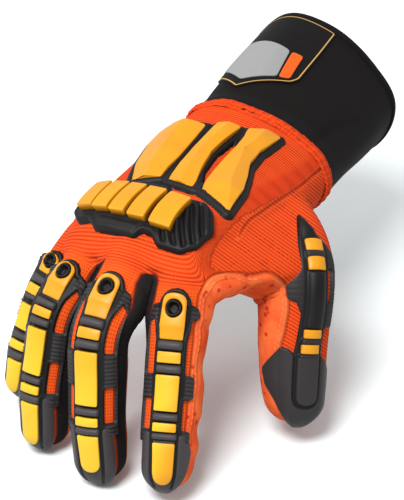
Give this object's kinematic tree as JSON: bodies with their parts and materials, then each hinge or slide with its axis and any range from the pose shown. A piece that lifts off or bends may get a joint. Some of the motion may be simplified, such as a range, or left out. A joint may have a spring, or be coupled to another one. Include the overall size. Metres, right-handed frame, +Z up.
{
  "type": "impact glove",
  "caption": "Right-hand impact work glove in orange knit and suede, with black and yellow moulded rubber guards on the back and a flared black cuff.",
  "frame": {"origin": "centre of the cuff's mouth, where the forearm goes in", "axes": "+Z up out of the back of the hand, -Y towards the fingers, +X towards the thumb"},
  "size_m": [0.1553, 0.2815, 0.1316],
  "materials": {
    "orange_knit": "ribbed stretch knit, matte",
    "orange_suede": "synthetic suede with rows of fine dots, matte",
    "finger_cloth": "orange knit on the back, black side walls, suede on the palm side",
    "cuff_cloth": "foam-backed smooth cloth, matte",
    "binding": "folded edge tape, matte",
    "black_rubber": "moulded rubber, satin",
    "yellow_rubber": "moulded rubber, satin",
    "grey_rubber": "moulded rubber, satin",
    "label_print": "printed film with a thin gold edge",
    "silver_film": "silver film, satin",
    "orange_film": "printed film"
  },
  "bodies": {
    "root": {"back_panel": "orange_knit", "palm_panel": "orange_suede", "index_stall": "finger_cloth", "middle_stall": "finger_cloth", "ring_stall": "finger_cloth", "little_stall": "finger_cloth", "thumb_stall": "orange_suede", "cuff": "cuff_cloth", "cuff_binding": "binding", "wrist_hem": "orange_knit", "index_guard": "black_rubber", "index_knuckle_pad": "yellow_rubber", "index_middle_band": "yellow_rubber", "index_long_pad": "yellow_rubber", "index_end_band": "yellow_rubber", "index_tip_cap": "grey_rubber", "index_tip_pad": "yellow_rubber", "middle_guard": "black_rubber", "middle_knuckle_pad": "yellow_rubber", "middle_middle_band": "yellow_rubber", "middle_long_pad": "yellow_rubber", "middle_end_band": "yellow_rubber", "middle_tip_cap": "grey_rubber", "middle_tip_pad": "yellow_rubber", "ring_guard": "black_rubber", "ring_knuckle_pad": "yellow_rubber", "ring_middle_band": "yellow_rubber", "ring_long_pad": "yellow_rubber", "ring_end_band": "yellow_rubber", "ring_tip_cap": "grey_rubber", "ring_tip_pad": "yellow_rubber", "little_guard": "black_rubber", "little_knuckle_pad": "yellow_rubber", "little_middle_band": "yellow_rubber", "little_long_pad": "yellow_rubber", "little_end_band": "yellow_rubber", "little_tip_cap": "grey_rubber", "little_tip_pad": "yellow_rubber", "thumb_guard": "black_rubber", "thumb_band_1": "yellow_rubber", "thumb_band_2": "yellow_rubber", "thumb_band_3": "yellow_rubber", "thumb_band_4": "yellow_rubber", "thumb_tip_cap": "grey_rubber", "back_guard": "black_rubber", "back_pad_left": "yellow_rubber", "back_pad_middle": "yellow_rubber", "back_pad_right": "yellow_rubber", "knuckle_guard": "black_rubber", "knuckle_bar_1": "yellow_rubber", "knuckle_bar_2": "yellow_rubber", "knuckle_bar_3": "yellow_rubber", "knuckle_bar_4": "yellow_rubber", "knuckle_bar_5": "yellow_rubber", "cuff_label": "label_print", "label_window": "silver_film", "label_block": "orange_film"}
  },
  "joints": []
}
